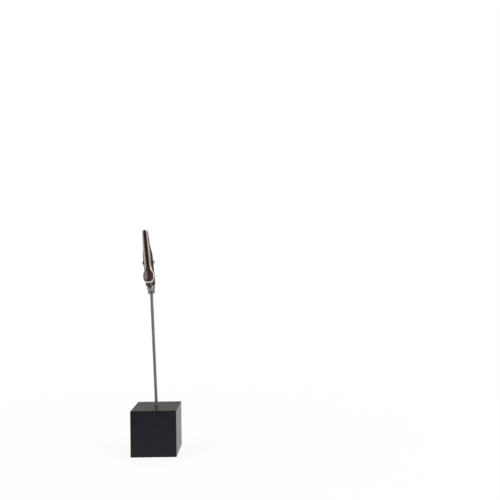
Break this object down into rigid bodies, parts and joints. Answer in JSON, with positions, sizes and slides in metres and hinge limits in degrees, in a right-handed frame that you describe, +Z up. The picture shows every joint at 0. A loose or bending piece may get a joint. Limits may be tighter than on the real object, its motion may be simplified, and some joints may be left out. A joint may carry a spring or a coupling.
{
  "type": "memo clip holder",
  "caption": "Memo clip holder: a square black block carries a thin wire stem, and a sprung crocodile clip crimped on top of the wire grips a card.",
  "frame": {"origin": "middle of the block's underside, on the surface that the holder stands on", "axes": "+Z up along the stem, -Y towards the side with the clip's thumb press, +X to the right seen from there"},
  "size_m": [0.03, 0.03, 0.1489],
  "materials": {
    "black_paint": "wood under satin black paint",
    "steel_wire": "drawn bright wire",
    "nickel": "pressed steel sheet, bright nickel plate",
    "rivet_steel": "dull nickel plate",
    "spring_steel": "bright spring wire"
  },
  "bodies": {
    "holder": {"block": "black_paint", "stem": "steel_wire", "clip_body": "nickel", "pivot_rivet": "rivet_steel", "torsion_spring": "spring_steel"},
    "lever": {"clip_lever": "nickel"}
  },
  "joints": [
    {"name": "lever_pivot", "type": "hinge", "parent": "holder", "child": "lever", "pos_m": [-0.00432, -0.00095, 0.12638], "axis": [0.9936, 0.0698, 0.0887], "range_deg": [0, 22], "stiffness_Nm_per_rad": 0.08, "springref_deg": -34.38, "deforming": ["torsion_spring"]}
  ]
}
